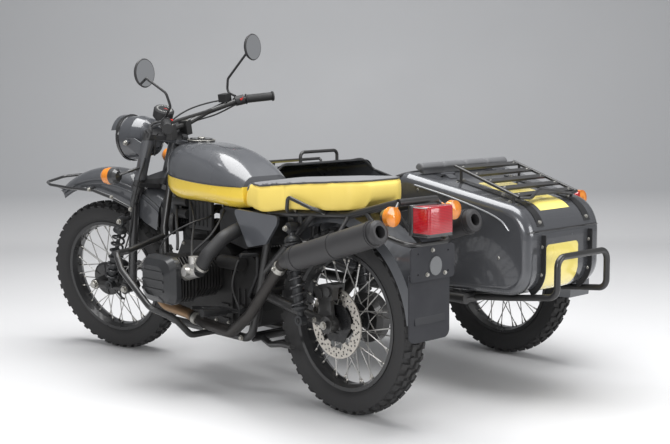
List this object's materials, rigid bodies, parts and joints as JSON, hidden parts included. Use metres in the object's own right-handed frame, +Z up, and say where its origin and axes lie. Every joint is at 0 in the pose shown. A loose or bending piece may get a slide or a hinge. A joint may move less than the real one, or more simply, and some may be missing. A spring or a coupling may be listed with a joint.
{
  "type": "sidecar motorcycle",
  "caption": "Flat-twin motorcycle with a bolted-on passenger sidecar, spoked wheels, leading-link fork, luggage racks and a hinged trunk lid.",
  "frame": {"origin": "on the ground under the middle of the whole machine", "axes": "+X forward, +Y to the rider's left, +Z up"},
  "size_m": [2.3482, 1.6564, 1.3953],
  "materials": {
    "yellow_paint": "satin",
    "grey_paint": "gloss",
    "black_paint": "gloss",
    "frame_black": "satin",
    "cast_alloy": "cast",
    "black_alloy": "satin",
    "steel": "satin",
    "exhaust_grey": "matt",
    "bright": "polished",
    "seat_vinyl": "matt",
    "black_plastic": "matt",
    "lamp_red": "clear",
    "lamp_amber": "clear",
    "rubber": "matt",
    "tyre": "matt"
  },
  "bodies": {
    "chassis": {"frame": "frame_black", "swingarm": "frame_black", "rear_shocks": "frame_black", "engine_case": "black_alloy", "cylinders": "black_alloy", "rocker_covers": "black_alloy", "airbox": "black_plastic", "intakes": "cast_alloy", "exhaust_pipes": "exhaust_grey", "silencers": "exhaust_grey", "fuel_tank": "yellow_paint", "tank_cap": "bright", "seat": "seat_vinyl", "side_covers": "grey_paint", "rear_fender": "black_paint", "mudflap": "rubber", "tail_lamp": "lamp_red", "rear_rail": "frame_black", "rear_indicators": "lamp_amber", "crash_bars": "frame_black", "foot_controls": "steel", "sidecar_frame": "frame_black", "sidecar_tub": "grey_paint", "sidecar_swingarm": "frame_black", "sidecar_fender": "black_paint", "sidecar_bumper": "frame_black", "nose_rack": "frame_black", "sidecar_seat": "seat_vinyl", "backrest_roll": "seat_vinyl", "cockpit_handle": "frame_black", "sidecar_lamps": "lamp_red"},
    "steering": {"fork": "frame_black", "leading_link": "frame_black", "front_shocks": "frame_black", "front_fender": "yellow_paint", "fender_rail": "frame_black", "headlamp": "black_paint", "gauge": "black_plastic", "handlebar": "frame_black", "bar_controls": "black_plastic", "mirrors": "black_plastic", "front_indicators": "lamp_amber"},
    "front_wheel": {"front_rim": "black_alloy", "front_tyre": "tyre"},
    "rear_wheel": {"rear_rim": "black_alloy", "rear_tyre": "tyre", "rear_disc": "steel"},
    "sidecar_wheel": {"sidecar_rim": "black_alloy", "sidecar_tyre": "tyre"},
    "lid": {"trunk_lid": "grey_paint", "trunk_rack": "frame_black"},
    "stand": {"centre_stand": "frame_black"}
  },
  "joints": [
    {"name": "steering", "type": "hinge", "parent": "chassis", "child": "steering", "pos_m": [0.40945, 0.41584, 0.865], "axis": [-0.5, 0, 0.866], "range_deg": [-56.15, 19.85]},
    {"name": "front_wheel_spin", "type": "hinge", "parent": "steering", "child": "front_wheel", "pos_m": [0.84279, 0.4525, 0.33807], "axis": [-0.2698, 0.9502, -0.1558], "continuous": true},
    {"name": "rear_wheel_spin", "type": "hinge", "parent": "chassis", "child": "rear_wheel", "pos_m": [-0.65214, 0.41584, 0.341], "axis": [0, 1, 0], "continuous": true},
    {"name": "sidecar_wheel_spin", "type": "hinge", "parent": "chassis", "child": "sidecar_wheel", "pos_m": [-0.40614, -0.74516, 0.341], "axis": [0, 1, 0], "continuous": true},
    {"name": "trunk_lid_hinge", "type": "hinge", "parent": "chassis", "child": "lid", "pos_m": [-0.63014, -0.27416, 0.83625], "axis": [0, 1, 0], "range_deg": [0, 75]},
    {"name": "centre_stand_pivot", "type": "hinge", "parent": "chassis", "child": "stand", "pos_m": [-0.21214, 0.41584, 0.222], "axis": [0, -1, 0], "range_deg": [0, 52], "stiffness_Nm_per_rad": 14, "springref_deg": -40.11}
  ]
}
